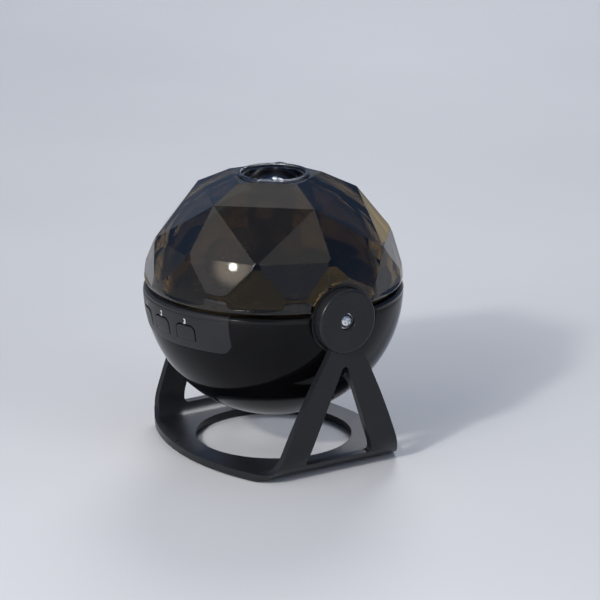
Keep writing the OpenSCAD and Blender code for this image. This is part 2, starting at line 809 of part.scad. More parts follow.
module faceted_dome() {
    edge_z = ledge_h + 5.1;
    edge_c = dome_foot_r - sqrt(dome_edge_r * dome_edge_r - (edge_z - ledge_h) * (edge_z - ledge_h));
    tongue_r = dome_foot_r - 1;
    color(smoked_amber) at_ball() difference() {
        union() {
            intersection() {
                dome_facets();
                sphere(r = ball_r, $fn = 128);
                rotate_extrude($fn = 128) {
                    translate([0, ledge_h]) square([edge_c, ball_r]);
                    translate([0, edge_z]) square([edge_c + dome_edge_r, ball_r]);
                    intersection() {
                        translate([edge_c, edge_z]) circle(r = dome_edge_r);
                        translate([0, ledge_h]) square([far, far]);
                    }
                }
            }
            translate([0, 0, ledge_h - 1.5]) tube(tongue_r, tongue_r - 0.8, 1.5 + 1);
        }
        translate([0, 0, -dome_in_drop]) sphere(r = dome_in_r, $fn = 128);
        cylinder(r = well_r, h = far, $fn = 96);
        side_cuts();
    }
}
module well_rim() {
    in_r = well_r - well_rim_t;
    round_r = well_lip_h / 2;
    color(clear_glass) at_ball() rotate_extrude($fn = 96) {
        translate([in_r, dome_top - well_rim_h])
            square([well_rim_t - 0.05, well_rim_h + well_lip_h - round_r]);
        translate([in_r, dome_top]) square([well_rim_t + well_lip, well_lip_h - round_r]);
        translate([in_r + round_r, dome_top]) square([well_rim_t + well_lip - 2 * round_r, well_lip_h]);
        intersection() {
            for (x = [in_r + round_r, well_r + well_lip - round_r])
                translate([x, dome_top + well_lip_h - round_r]) circle(r = round_r);
            translate([0, dome_top]) square([far, far]);
        }
    }
}

// Deck and optics

module three(r, turn = 30) {
    for (a = [0:120:240]) rotate([0, 0, a + turn]) translate([r, 0, 0]) children();
}
module deck_pillar_places() {
    for (x = sides, y = sides) translate([x * deck_pillar, y * deck_pillar, 0]) children();
}
module motor_ears() {
    for (s = sides) translate([s * (motor_r + 2.2), gear_gap, 0]) children();
}
module deck() {
    color(inner_black) at_ball() difference() {
        union() {
            translate([0, 0, deck_bottom]) cylinder(r = deck_r, h = deck_t, $fn = 128);
            three(sink_screw_r, 90) translate([0, 0, sink_top])
                cylinder(r = 2.3, h = deck_bottom - sink_top + eps);
        }
        translate([0, 0, deck_bottom - 5]) {
            cylinder(r = tube_in_r + 0.4 + screw_gap, h = 10);
            deck_pillar_places() cylinder(r = small_screw_r + 0.2, h = 10);
            three(housing_screw_r) cylinder(r = 1 + screw_gap, h = 10);
            translate([0, gear_gap, 0]) cylinder(r = 2.4, h = 10);
            motor_ears() cylinder(r = 0.8 + screw_gap, h = 10);
            three(ambient_r, ambient_turn) cylinder(r = 0.8 + screw_gap, h = 10);
        }
        three(sink_screw_r, 90) translate([0, 0, sink_top - 1]) cylinder(r = 1 + screw_gap, h = 4.5);
        for (s = sides) translate([s * (insert_end_x - 2 + far / 2), 0, 0])
            cube([far, 2 * cup_cut_r + 0.6, far], center = true);
    }
}
module deck_screws() {
    color(zinc) at_ball() deck_pillar_places() translate([0, 0, deck_top]) small_screw(8);
}
module lamp_tube() {
    color(inner_black) at_ball() translate([0, 0, deck_top]) difference() {
        union() {
            cylinder(r = lamp_tube_r, h = lamp_tube_h);
            cylinder(r = tube_flange_r, h = tube_flange_t);
            translate([0, 0, -deck_t]) cylinder(r = tube_in_r + 0.4, h = deck_t + 1);
        }
        cylinder(r = tube_in_r - 1, h = far, center = true);
        translate([0, 0, 1]) cylinder(r = tube_in_r, h = far);
    }
}
module lamp_housing() {
    window = 2 * (gear_module * pinion_teeth / 2 + 3);
    color(inner_black) at_ball() difference() {
        union() {
            translate([0, 0, deck_top]) cylinder(r = housing_r, h = roof_z + roof_t - deck_top);
            translate([0, 0, deck_top]) three(housing_screw_r) cylinder(r = 3, h = 2);
        }
        translate([0, 0, deck_top - 1]) cylinder(r = housing_in_r, h = roof_z - deck_top + 1);
        cylinder(r = barrel_in_r, h = far);
        translate([-window / 2, housing_in_r - 6, deck_top - 1]) cube([window, 20, roof_z - deck_top]);
        three(housing_screw_r) translate([0, 0, deck_top - 1]) cylinder(r = 1 + screw_gap, h = 6);
        three(barrel_screw_r) cylinder(r = 1 + screw_gap, h = far);
    }
}
module optics_screws() {
    color(zinc) at_ball() {
        three(housing_screw_r) translate([0, 0, deck_top + 2]) small_screw(3.6, 1, 1.9, 1.2);
        three(barrel_screw_r) translate([0, 0, barrel_foot + barrel_flange_t]) small_screw(3.4, 1, 1.9, 1.2);
        three(ambient_r, ambient_turn) translate([0, 0, deck_top + board_t])
            small_screw(board_t + 1.6, 0.8, 1.5, 1);
    }
}
module lens_barrel() {
    color(gloss_black) at_ball() difference() {
        union() {
            translate([0, 0, barrel_foot]) cylinder(r = barrel_r, h = barrel_top - barrel_foot, $fn = 96);
            translate([0, 0, barrel_foot])
                cylinder(r = barrel_r + barrel_flange, h = barrel_flange_t, $fn = 96);
        }
        cylinder(r = lens_seat_r, h = far, $fn = 96);
        translate([0, 0, lens_z]) cylinder(r = barrel_in_r, h = far, $fn = 96);
        cylinder(r = barrel_in_r, h = lens_z - 1.2, $fn = 96);
        three(barrel_screw_r) cylinder(r = 1 + screw_gap, h = far);
    }
}
module projection_lens() {
    rise = lens_curve_r - sqrt(lens_curve_r * lens_curve_r - lens_seat_r * lens_seat_r);
    color(clear_glass) at_ball() translate([0, 0, lens_z]) intersection() {
        translate([0, 0, -rise - 1]) cylinder(r = lens_r, h = lens_edge + 2 * rise + 2, $fn = 96);
        union() {
            cylinder(r = lens_r, h = lens_edge, $fn = 96);
            intersection() {
                cylinder(r = lens_seat_r - 0.1, h = far, center = true, $fn = 96);
                translate([0, 0, lens_edge + rise - lens_curve_r]) sphere(r = lens_curve_r, $fn = 96);
                translate([0, 0, lens_curve_r - rise]) sphere(r = lens_curve_r, $fn = 96);
            }
        }
    }
}
module lens_retainer() {
    color(inner_black) at_ball() translate([0, 0, lens_z + lens_edge])
        tube(barrel_in_r - 0.05, lens_seat_r + 0.1, 2.2);
}
module condenser_lens() {
    h = 4;
    curve_r = 14.5;
    r = tube_in_r - 0.1;
    color(clear_glass) at_ball() translate([0, 0, deck_top + 1]) intersection() {
        cylinder(r = r, h = h);
        translate([0, 0, h - curve_r]) sphere(r = curve_r, $fn = 96);
    }
}
module star_led() {
    size = 3.6;
    color("#e8e2c8") at_ball() translate([0, 0, sink_top + board_t]) {
        translate([-size / 2, -size / 2, 0]) cube([size, size, 0.8]);
        intersection() {
            translate([0, 0, 0.6]) sphere(r = 1.5);
            translate([-size / 2, -size / 2, 0.7]) cube([size, size, size]);
        }
    }
}
module star_led_board() {
    color(board_green) at_ball() translate([0, 0, sink_top]) difference() {
        cylinder(r = led_board_r, h = board_t);
        for (a = [0:60:300]) rotate([0, 0, a]) translate([led_board_r, 0, -1]) cylinder(r = 1.5, h = 4);
    }
}
module heat_sink() {
    pitch = 2 * sink_r / fin_count;
    color("#8f959b") at_ball() translate([0, 0, sink_top]) difference() {
        translate([0, 0, -sink_h]) cylinder(r = sink_r, h = sink_h);
        for (i = [0:fin_count - 1]) translate([-sink_r + i * pitch + fin_t, -far / 2, -sink_h - sink_plate])
            cube([pitch - fin_t, far, sink_h]);
        three(sink_screw_r, 90) {
            translate([0, 0, -far]) cylinder(r = 1 + screw_gap, h = far + 1);
            translate([0, 0, -sink_plate - far]) cylinder(r = sink_head_room, h = far);
        }
    }
}
module heat_sink_screws() {
    color(zinc) at_ball() three(sink_screw_r, 90) translate([0, 0, sink_top - sink_plate]) rotate([180, 0, 0])
        small_screw(sink_plate + 3, 1, 1.5, 1.2);
}
module ambient_board() {
    color(inner_black) at_ball() translate([0, 0, deck_top]) difference() {
        tube(ambient_in_r + 2 * ambient_half, ambient_in_r, board_t);
        three(ambient_r, ambient_turn) translate([0, 0, -1]) cylinder(r = 0.8 + screw_gap, h = 4);
    }
}
module ambient_leds() {
    size = 4;
    first = 180 / ambient_count;
    color("#e9e6da") at_ball() for (i = [0:ambient_count - 1])
        rotate([0, 0, first + 360 / ambient_count * i]) translate([ambient_r, 0, deck_top + board_t])
            difference() {
                translate([-size / 2, -size / 2, 0]) cube([size, size, 1.4]);
                translate([0, 0, 1]) cylinder(r = 1.4, h = 2);
            }
}

// Film drive

module motor_places() {
    at_ball() translate([0, gear_gap, 0]) children();
}
module film_motor() {
    ear_x = motor_r + 4.4;
    color(zinc) motor_places() translate([0, 0, deck_bottom]) difference() {
        union() {
            translate([0, 0, -motor_h]) cylinder(r = motor_r, h = motor_h);
            translate([-ear_x, -2.2, -0.8]) cube([2 * ear_x, 4.4, 0.8]);
        }
        translate([0, 0, 2 - motor_h]) cylinder(r = shaft_r + 0.06, h = motor_h);
        for (x = sides) translate([x * (motor_r + 2.2), 0, -3]) cylinder(r = 0.8 + screw_gap, h = 6);
    }
}
module motor_screws() {
    color(zinc) at_ball() motor_ears() translate([0, 0, deck_bottom - 0.8]) rotate([180, 0, 0])
        small_screw(2.4, 0.8, 1.5, 1);
}
module motor_shaft() {
    color(zinc) motor_places() translate([0, 0, deck_bottom - motor_h + 3])
        cylinder(r = shaft_r, h = motor_h - 3 - deck_bottom + teeth_z + carrier_h + 1);
}
module motor_pinion() {
    color(brass) motor_places() translate([0, 0, teeth_z - 0.3]) difference() {
        rotate([0, 0, pinion_turn]) linear_extrude(height = carrier_h + 0.6)
            polygon(gear_points(pinion_teeth));
        translate([0, 0, -1]) cylinder(r = shaft_r + 0.02, h = carrier_h + 4);
    }
}
module film_carrier() {
    color("#d8d4c6") at_ball() difference() {
        union() {
            translate([0, 0, carrier_foot]) cylinder(r = carrier_hub_r, h = carrier_top - carrier_foot);
            translate([0, 0, teeth_z]) rotate([0, 0, 90]) linear_extrude(height = carrier_h)
                polygon(gear_points(carrier_teeth));
        }
        cylinder(r = carrier_bore_r, h = far, center = true);
    }
}
module star_film() {
    golden = 137.508;
    color("#1c1c20") at_ball() translate([0, 0, carrier_top]) difference() {
        cylinder(r = film_r, h = film_t);
        for (i = [1:film_holes]) rotate([0, 0, golden * i])
            translate([(tube_in_r - 1) * sqrt(i / (film_holes + 1)), 0, -1])
                cylinder(r = pinhole_r, h = 3, $fn = 16);
    }
}
module film_clip() {
    color(inner_black) at_ball() translate([0, 0, carrier_top]) difference() {
        cylinder(r = carrier_hub_r, h = film_t + clip_t);
        translate([0, 0, -1]) cylinder(r = film_r + 0.05, h = film_t + 1);
        cylinder(r = tube_in_r + 0.5, h = far, center = true);
    }
}

// Electronics

module main_board() {
    color(board_green) at_ball() difference() {
        translate([-main_board_half, board_front, -main_board_drop])
            cube([2 * main_board_half, main_board_len, board_t]);
        for (x = sides, y = pillar_y) translate([x * pillar_x, y, -main_board_drop - 2])
            cylinder(r = small_screw_r + 0.1, h = 6);
    }
}
module board_screws() {
    color(zinc) at_ball() for (x = sides, y = pillar_y) translate([x * pillar_x, y, board_top])
        small_screw(6);
}
module board_chips() {
    color(chip_black) at_ball() translate([0, 0, board_top]) {
        translate([-7, -8, 0]) cube([10, 10, 1.4]);
        translate([-10, 22, 0]) cube([6, 5, 1.5]);
        translate([4, 24, 0]) cube([7, 7, 3]);
        translate([-7, 36, 0]) cube([5, 5, 1.4]);
        translate([6, 38, 0]) cylinder(r = 2.5, h = 3.5);
    }
}
module charge_socket() {
    half = socket_w / 2 - socket_h / 2;
    wall = 0.3;
    color(zinc) at_ball() translate([0, socket_end - socket_len, socket_z])
        rotate([-90, 0, 0]) difference() {
            linear_extrude(height = socket_len) {
                square([2 * half, socket_h], center = true);
                for (s = sides) translate([s * half, 0]) circle(r = socket_h / 2);
            }
            translate([0, 0, 2]) linear_extrude(height = socket_len) {
                square([2 * half, socket_h - 2 * wall], center = true);
                for (s = sides) translate([s * half, 0]) circle(r = socket_h / 2 - wall);
            }
        }
}
module battery_holder() {
    color(inner_black) at_ball() difference() {
        translate([-holder_half_x, -holder_half_y, holder_bottom])
            cube([2 * holder_half_x, 2 * holder_half_y, holder_top - holder_bottom]);
        translate([0, 0, -cell_drop]) rotate([0, 90, 0])
            cylinder(r = cell_r + 0.15, h = cell_len + 2, center = true, $fn = 64);
        translate([-cell_len / 2 - 1, -cell_r * 0.8, -cell_drop]) cube([cell_len + 2, cell_r * 1.6, far]);
    }
}
module battery_cell() {
    color("#2f5f8f") at_ball() translate([0, 0, -cell_drop]) rotate([0, 90, 0]) {
        cylinder(r = cell_r, h = cell_len - 1.2, center = true, $fn = 64);
        translate([0, 0, cell_len / 2 - 0.6 - eps]) cylinder(r = 3, h = 1.2);
    }
}
module battery_contacts() {
    color(zinc) at_ball() for (s = sides)
        translate([s * contact_x - 0.2, -4, -cell_drop - 4]) cube([0.4, 8, contact_top + cell_drop + 4]);
}
module battery_leads() {
    edge_x = main_board_half + lead_r + 0.1;
    color(lead_red) at_ball() for (s = sides)
        rod([s * contact_x, 2, contact_top + lead_r + 0.1], [s * edge_x, 6, board_top - board_t / 2], lead_r);
}
module button_leads() {
    color("#3a3a40") at_ball() for (i = [-1.5:1:1.5]) lead([
        [i * 1.5, -board_face + board_t + 0.6, tab_z + 1.5],
        [i * 1.5, -board_face + 8, tab_z - 1],
        [i * 1.5, board_front - 6, board_top + 4],
        [i * 1.5, board_front + 2, board_top + 0.6]], 0.6);
}
module motor_leads() {
    color("#a8a8ac") at_ball() for (s = sides) lead([
        [s * 3, gear_gap + motor_r + 0.5, deck_bottom - motor_h + 2],
        [s * 3, gear_gap + motor_r + 3, deck_bottom - motor_h - 1],
        [s * 3, gear_gap + motor_r + 1.5, board_top + 0.5]], 0.5);
}
module button_board() {
    color(board_green) at_ball() difference() {
        translate([-button_board_half, -board_face, pip_z - button_board_h / 2])
            cube([2 * button_board_half, board_t, button_board_h]);
        for (x = sides) translate([x * button_screw_x, 0, pip_z]) rotate([90, 0, 0])
            cylinder(r = 0.8 + screw_gap, h = far);
    }
}
module button_board_screws() {
    color(zinc) at_ball() for (x = sides)
        translate([x * button_screw_x, board_t - board_face, pip_z]) rotate([-90, 0, 0])
            small_screw(5.4, 0.8, 1.5, 1);
}
function switch_x(a) = pip_centre * tan(a);
module switch_bodies() {
    color(chip_black) at_ball() for (a = tab_angles)
        translate([switch_x(a), -board_face, pip_z]) rotate([90, 0, 0]) difference() {
            translate([-switch_size / 2, -switch_size / 2, 0]) cube([switch_size, switch_size, switch_h]);
            translate([0, 0, switch_h - plunger_in - 0.5]) cylinder(r = plunger_r + plunger_play, h = far);
        }
}
module plunger(a) {
    color("#dcdcd6") at_ball() translate([switch_x(a), -switch_face + plunger_in, pip_z]) rotate([90, 0, 0])
        cylinder(r = plunger_r, h = plunger_in + plunger_out);
}
module press_tab(a) {
    color(panel_grey) at_ball() rotate([0, 0, a]) {
        translate([0, -hinge_r, tab_z]) rotate([tab_tilt, 0, 0]) translate([0, hinge_r, -tab_z])
            intersection() {
                difference() {
                    sphere(r = panel_out_r, $fn = 128);
                    sphere(r = panel_in_r, $fn = 128);
                }
                forward() tab_outline();
            }
        translate([0, -pip_centre / cos(a), pip_z]) {
            sphere(r = pip_r, $fn = 48);
            rotate([90, 0, 0]) cylinder(r = pip_r, h = panel_in_r + 0.3 - pip_centre / cos(a), $fn = 48);
        }
    }
}
module left_press_tab() {
    press_tab(tab_angles[0]);
}
module middle_press_tab() {
    press_tab(tab_angles[1]);
}
module right_press_tab() {
    press_tab(tab_angles[2]);
}
module left_plunger() {
    plunger(tab_angles[0]);
}
module middle_plunger() {
    plunger(tab_angles[1]);
}
module right_plunger() {
    plunger(tab_angles[2]);
}

stand_frame();
foot_pads();
left_pivot_cover();
right_pivot_cover();
left_pivot_spacer();
right_pivot_spacer();
pivot_washers();
pivot_screws();
lower_shell();
trim_bands();
control_panel();
faceted_dome();
well_rim();
left_hub_cup();
right_hub_cup();
hub_cup_screws();
pivot_inserts();
friction_washers();
deck();
deck_screws();
lamp_housing();
lamp_tube();
optics_screws();
lens_barrel();
projection_lens();
lens_retainer();
condenser_lens();
star_led();
star_led_board();
heat_sink();
heat_sink_screws();
ambient_board();
ambient_leds();
film_motor();
motor_screws();
motor_pinion();
motor_shaft();
film_carrier();
star_film();
film_clip();
main_board();
board_chips();
board_screws();
charge_socket();
battery_holder();
battery_cell();
battery_contacts();
battery_leads();
button_leads();
motor_leads();
button_board();
button_board_screws();
switch_bodies();
left_press_tab();
middle_press_tab();
right_press_tab();
left_plunger();
middle_plunger();
right_plunger();
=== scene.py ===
"""Looks for the faceted star projector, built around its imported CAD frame. Lengths are in metres."""

import math

import bmesh
import bpy
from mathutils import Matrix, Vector


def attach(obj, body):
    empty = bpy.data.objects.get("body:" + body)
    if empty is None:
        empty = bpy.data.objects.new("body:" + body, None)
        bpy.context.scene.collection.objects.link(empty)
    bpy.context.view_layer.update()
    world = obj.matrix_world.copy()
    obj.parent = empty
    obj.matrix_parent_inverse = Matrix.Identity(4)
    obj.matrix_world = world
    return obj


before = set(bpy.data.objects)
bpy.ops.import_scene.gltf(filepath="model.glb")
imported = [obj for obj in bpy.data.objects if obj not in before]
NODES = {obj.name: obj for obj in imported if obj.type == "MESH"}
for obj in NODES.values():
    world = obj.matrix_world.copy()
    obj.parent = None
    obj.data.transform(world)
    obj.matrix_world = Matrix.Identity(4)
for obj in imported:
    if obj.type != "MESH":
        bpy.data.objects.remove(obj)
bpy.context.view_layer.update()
MM = 0.001

# Places that part.scad gives, in metres
BALL_CENTRE = Vector((0, 0, 82.4 * MM))
PANEL_R = 65.2 * MM
PANEL_HALF = 40.2 * MM
WELL_BORE_R = 14.9 * MM

# Camera

IMAGE_PX = 600
CAMERA_AZIMUTH = math.radians(57.6)
CAMERA_ELEVATION = math.radians(16.6)
CAMERA_DISTANCE = 1.5
CAMERA_LENS = 180
BALL_AT_PX = (273.5, 284.3)


def add_camera():
    """The photograph's view: the ball's centre lands on BALL_AT_PX."""
    data = bpy.data.cameras.new("camera")
    data.lens = CAMERA_LENS
    data.sensor_width = 36
    data.clip_start = 0.05
    data.shift_x = (IMAGE_PX / 2 - BALL_AT_PX[0]) / IMAGE_PX
    data.shift_y = (BALL_AT_PX[1] - IMAGE_PX / 2) / IMAGE_PX
    camera = bpy.data.objects.new("camera", data)
    bpy.context.scene.collection.objects.link(camera)
    flat = math.cos(CAMERA_ELEVATION)
    away = Vector((math.sin(CAMERA_AZIMUTH) * flat, -math.cos(CAMERA_AZIMUTH) * flat,
                   math.sin(CAMERA_ELEVATION)))
    camera.location = BALL_CENTRE + away * CAMERA_DISTANCE
    camera.rotation_euler = (-away).to_track_quat("-Z", "Y").to_euler()
    bpy.context.scene.camera = camera


add_camera()
bpy.context.scene.view_settings.view_transform = "Standard"

# Materials

# The range that holds most of a noise's values
NOISE_LOW = 0.3
NOISE_HIGH = 0.7


def fill_ramp(ramp, stops):
    """Gives a colour ramp its stops, each a place and a colour."""
    elements = ramp.color_ramp.elements
    while len(elements) < len(stops):
        elements.new(0.5)
    for element, (place, color) in zip(elements, stops):
        element.position = place
        element.color = (*color, 1)


class Shader:
    """A material's node tree, with short calls for the nodes used here."""

    def __init__(self, name):
        self.material = bpy.data.materials.new(name)
        self.material.use_nodes = True
        self.tree = self.material.node_tree
        self.bsdf = self.tree.nodes["Principled BSDF"]
        coords = self.node("ShaderNodeTexCoord")
        self.coords = coords.outputs["Object"]

    def node(self, kind, **values):
        made = self.tree.nodes.new(kind)
        for key, value in values.items():
            if key in made.inputs:
                made.inputs[key].default_value = value
            else:
                setattr(made, key, value)
        return made

    def link(self, source, target):
        self.tree.links.new(source, target)

    def set(self, **values):
        """Constants on the shader's own sockets; an underscore stands for a space."""
        for key, value in values.items():
            self.bsdf.inputs[key.replace("_", " ")].default_value = value

    def noise(self, scale, detail, roughness, stretch=(1, 1, 1)):
        mapping = self.node("ShaderNodeMapping")
        mapping.inputs["Scale"].default_value = stretch
        self.link(self.coords, mapping.inputs["Vector"])
        noise = self.node("ShaderNodeTexNoise", Scale=scale, Detail=detail, Roughness=roughness)
        self.link(mapping.outputs["Vector"], noise.inputs["Vector"])
        return noise.outputs["Fac"]

    def ramp(self, source, stops):
        ramp = self.node("ShaderNodeValToRGB")
        fill_ramp(ramp, stops)
        self.link(source, ramp.inputs["Fac"])
        return ramp.outputs["Color"]

    def spread(self, source, low, high):
        """Low to high over a noise."""
        mapped = self.node("ShaderNodeMapRange")
        for socket, value in zip(mapped.inputs[1:5], (NOISE_LOW, NOISE_HIGH, low, high)):
            socket.default_value = value
        self.link(source, mapped.inputs["Value"])
        return mapped.outputs["Result"]

    def tint(self, source, color, low, high):
        """A base colour that goes from low to high times the given one over a noise."""
        stops = [(NOISE_LOW, shade(color, low)), (NOISE_HIGH, shade(color, high))]
        self.link(self.ramp(source, stops), self.bsdf.inputs["Base Color"])

    def roughen(self, source, low, high):
        """A roughness that goes from low to high over a noise."""
        self.link(self.spread(source, low, high), self.bsdf.inputs["Roughness"])

    def bump(self, source, strength, distance):
        bump = self.node("ShaderNodeBump", Strength=strength, Distance=distance)
        self.link(source, bump.inputs["Height"])
        self.link(bump.outputs["Normal"], self.bsdf.inputs["Normal"])


def shade(color, factor):
    return tuple(min(1, c * factor) for c in color)


# Scales of the noises, in features to the metre, and the heights of the bumps
CLOUD_SCALE = 40
HANDLING_SCALE = 160
FINE_WEAR_SCALE = 400
MACHINING_SCALE = 900
CLEAR_CLOUD_SCALE = 60
CLEAR_HAZE_SCALE = 300
CLEAR_SWELL_SCALE = 30
GRAIN_HEIGHT = 0.04 * MM
MACHINING_HEIGHT = 0.02 * MM
SWELL_HEIGHT = 0.1 * MM

# The specular level of the satin parts; a plain plastic's is 0.5
SATIN_SPECULAR = 0.28


def plastic(name, color, rough, grain=2600, grain_bump=0.05, spread=0.12, **sockets):
    """Moulded plastic: a fine spark-eroded grain, faint colour clouds and a slightly uneven roughness."""
    s = Shader(name)
    s.tint(s.noise(CLOUD_SCALE, 4, 0.55), color, 1 - spread, 1 + spread)
    s.roughen(s.noise(HANDLING_SCALE, 5, 0.6), rough - 0.03, rough + 0.04)
    s.bump(s.noise(grain, 2, 0.5), grain_bump, GRAIN_HEIGHT)
    s.set(**sockets)
    return s.material


def metal(name, color, rough, stretch=(1, 1, 1)):
    """Plated or bare metal with fine machining lines."""
    s = Shader(name)
    lines = s.noise(MACHINING_SCALE, 3, 0.6, stretch)
    s.tint(lines, color, 0.86, 1.08)
    s.roughen(lines, rough - 0.05, rough + 0.08)
    s.bump(lines, 0.04, MACHINING_HEIGHT)
    s.set(Metallic=1.0)
    return s.material


def see_through(name, color, rough, ior):
    """Clear or tinted moulded plastic and glass."""
    s = Shader(name)
    s.tint(s.noise(CLEAR_CLOUD_SCALE, 3, 0.5), color, 0.94, 1.06)
    s.roughen(s.noise(CLEAR_HAZE_SCALE, 4, 0.6), rough, rough + 0.015)
    s.bump(s.noise(CLEAR_SWELL_SCALE, 2, 0.5), 0.02, SWELL_HEIGHT)
    s.set(IOR=ior, Transmission_Weight=1.0)
    return s.material


def in_bore(s):
    """1 inside the bore about the ball's axis, seen from above, and 0 outside."""
    flat = s.node("ShaderNodeVectorMath", operation="MULTIPLY")
    flat.inputs[1].default_value = (1, 1, 0)
    s.link(s.coords, flat.inputs[0])
    away = s.node("ShaderNodeVectorMath", operation="LENGTH")
    s.link(flat.outputs["Vector"], away.inputs[0])
    inside = s.node("ShaderNodeMath", operation="LESS_THAN")
    inside.inputs[1].default_value = WELL_BORE_R
    s.link(away.outputs["Value"], inside.inputs[0])
    return inside.outputs["Value"]


def over_panel(s):
    """1 within the control panel's width, seen from above, and 0 beside it."""
    parts = s.node("ShaderNodeSeparateXYZ")
    s.link(s.coords, parts.inputs["Vector"])
    front = s.node("ShaderNodeMath", operation="MULTIPLY")
    front.inputs[1].default_value = -1
    s.link(parts.outputs["Y"], front.inputs[0])
    turn = s.node("ShaderNodeMath", operation="ARCTAN2")
    s.link(parts.outputs["X"], turn.inputs[0])
    s.link(front.outputs["Value"], turn.inputs[1])
    size = s.node("ShaderNodeMath", operation="ABSOLUTE")
    s.link(turn.outputs["Value"], size.inputs[0])
    inside = s.node("ShaderNodeMath", operation="LESS_THAN")
    inside.inputs[1].default_value = math.asin(PANEL_HALF / PANEL_R)
    s.link(size.outputs["Value"], inside.inputs[0])
    return inside.outputs["Value"]


def two_finishes(name, mask, outside, inside):
    """Two finishes, outside and inside a mask, each a colour, a roughness and a metallic value."""
    s = Shader(name)
    where = mask(s)

    def either(outer, inner):
        return s.ramp(where, [(0, outer), (1, inner)])

    outer_color, outer_rough, outer_metal = outside
    inner_color, inner_rough, inner_metal = inside
    s.link(either(outer_color, inner_color), s.bsdf.inputs["Base Color"])
    s.link(either([outer_metal] * 3, [inner_metal] * 3), s.bsdf.inputs["Metallic"])
    wear = s.node("ShaderNodeMath", operation="ADD")
    s.link(either([outer_rough] * 3, [inner_rough] * 3), wear.inputs[0])
    s.link(s.spread(s.noise(FINE_WEAR_SCALE, 3, 0.6), 0, 0.05), wear.inputs[1])
    s.link(wear.outputs["Value"], s.bsdf.inputs["Roughness"])
    s.set(Specular_IOR_Level=SATIN_SPECULAR)
    return s.material


DEEP_BLACK = (0.003, 0.003, 0.0036)
PANEL_GREY = (0.017, 0.0174, 0.0205)
CHARCOAL = plastic("satin_charcoal", (0.013, 0.0138, 0.017), 0.30, grain=2200, grain_bump=0.08,
                   Specular_IOR_Level=SATIN_SPECULAR)
COVER = plastic("satin_cover", (0.014, 0.0145, 0.017), 0.28, grain=2600, grain_bump=0.05,
                Specular_IOR_Level=SATIN_SPECULAR)
GLOSS = plastic("gloss_black", DEEP_BLACK, 0.09, grain=300, grain_bump=0.015, spread=0.3,
                Specular_IOR_Level=0.14)
GREY = plastic("satin_grey", PANEL_GREY, 0.34, grain=2600, grain_bump=0.08,
               Specular_IOR_Level=0.26)
AMBER = see_through("smoked_amber", (0.175, 0.122, 0.06), 0.0, 1.52)
CLEAR = see_through("clear_rim", (0.82, 0.85, 0.87), 0.03, 1.49)
LENS = see_through("lens_glass", (0.93, 0.95, 0.97), 0.0, 1.52)
INNER = plastic("inner_black", (0.012, 0.012, 0.013), 0.5)
RUBBER = plastic("pad_rubber", (0.016, 0.016, 0.016), 0.75, grain=1500, grain_bump=0.3)
ZINC = metal("bright_zinc", (0.90, 0.92, 0.95), 0.26)
BARREL = two_finishes("black_barrel", in_bore, outside=((0.004, 0.004, 0.0048), 0.05, 0),
                      inside=((0.5, 0.52, 0.56), 0.06, 1))
TRIM = two_finishes("trim", over_panel, outside=(DEEP_BLACK, 0.07, 0), inside=(PANEL_GREY, 0.32, 0))
STEEL = metal("motor_steel", (0.52, 0.53, 0.55), 0.3, (1, 1, 12))
BRASS = metal("brass", (0.55, 0.38, 0.14), 0.25)
ALUMINIUM = metal("aluminium", (0.6, 0.61, 0.63), 0.35, (1, 12, 1))
BOARD = plastic("solder_mask", (0.015, 0.12, 0.05), 0.3, grain=1200, grain_bump=0.12)
CHIP = plastic("chip_black", (0.012, 0.012, 0.013), 0.45)
LED = plastic("led_phosphor", (0.42, 0.37, 0.18), 0.4)
GEAR = plastic("acetal", (0.66, 0.64, 0.57), 0.35)
FILM = plastic("film_black", (0.01, 0.01, 0.012), 0.15)
CELL = plastic("cell_sleeve", (0.03, 0.12, 0.28), 0.25)
LEAD = plastic("lead_red", (0.35, 0.03, 0.02), 0.4)
INK = plastic("ink_white", (0.62, 0.63, 0.64), 0.5, grain=3000, grain_bump=0.1)

FINISHES = {
    CHARCOAL: ["stand_frame"],
    COVER: ["left_pivot_cover", "right_pivot_cover", "left_pivot_spacer", "right_pivot_spacer"],
    RUBBER: ["foot_pads"],
    GLOSS: ["lower_shell"],
    BARREL: ["lens_barrel"],
    GREY: ["control_panel", "left_press_tab", "middle_press_tab", "right_press_tab"],
    TRIM: ["trim_bands"],
    AMBER: ["faceted_dome"],
    CLEAR: ["well_rim"],
    LENS: ["projection_lens", "condenser_lens"],
    INNER: ["left_hub_cup", "right_hub_cup", "deck", "ambient_board", "lamp_housing", "lamp_tube",
            "lens_retainer", "film_clip", "battery_holder"],
    ZINC: ["pivot_washers", "pivot_screws", "hub_cup_screws", "deck_screws", "optics_screws",
           "heat_sink_screws", "motor_screws", "board_screws", "button_board_screws", "battery_contacts",
           "charge_socket"],
    STEEL: ["film_motor", "motor_shaft"],
    BRASS: ["pivot_inserts", "friction_washers", "motor_pinion"],
    ALUMINIUM: ["heat_sink"],
    BOARD: ["star_led_board", "main_board", "button_board"],
    CHIP: ["board_chips", "switch_bodies"],
    LED: ["star_led", "ambient_leds"],
    GEAR: ["film_carrier", "left_plunger", "middle_plunger", "right_plunger"],
    FILM: ["star_film"],
    CELL: ["battery_cell"],
    LEAD: ["battery_leads", "button_leads", "motor_leads"],
}


def dress(obj, material):
    obj.data.materials.clear()
    obj.data.materials.append(material)


for finish, names in FINISHES.items():
    for name in names:
        dress(NODES[name], finish)

# Radii of the softened edges, in mm
EDGES = {
    "stand_frame": 0.8,
    "control_panel": 0.2,
    "trim_bands": 0.2,
    "lower_shell": 0.2,
    "left_press_tab": 0.3,
    "middle_press_tab": 0.3,
    "right_press_tab": 0.3,
    "left_pivot_cover": 0.3,
    "right_pivot_cover": 0.3,
    "pivot_screws": 0.12,
}
DOME_EDGE = 0.3
WELD_REACH = 0.002 * MM


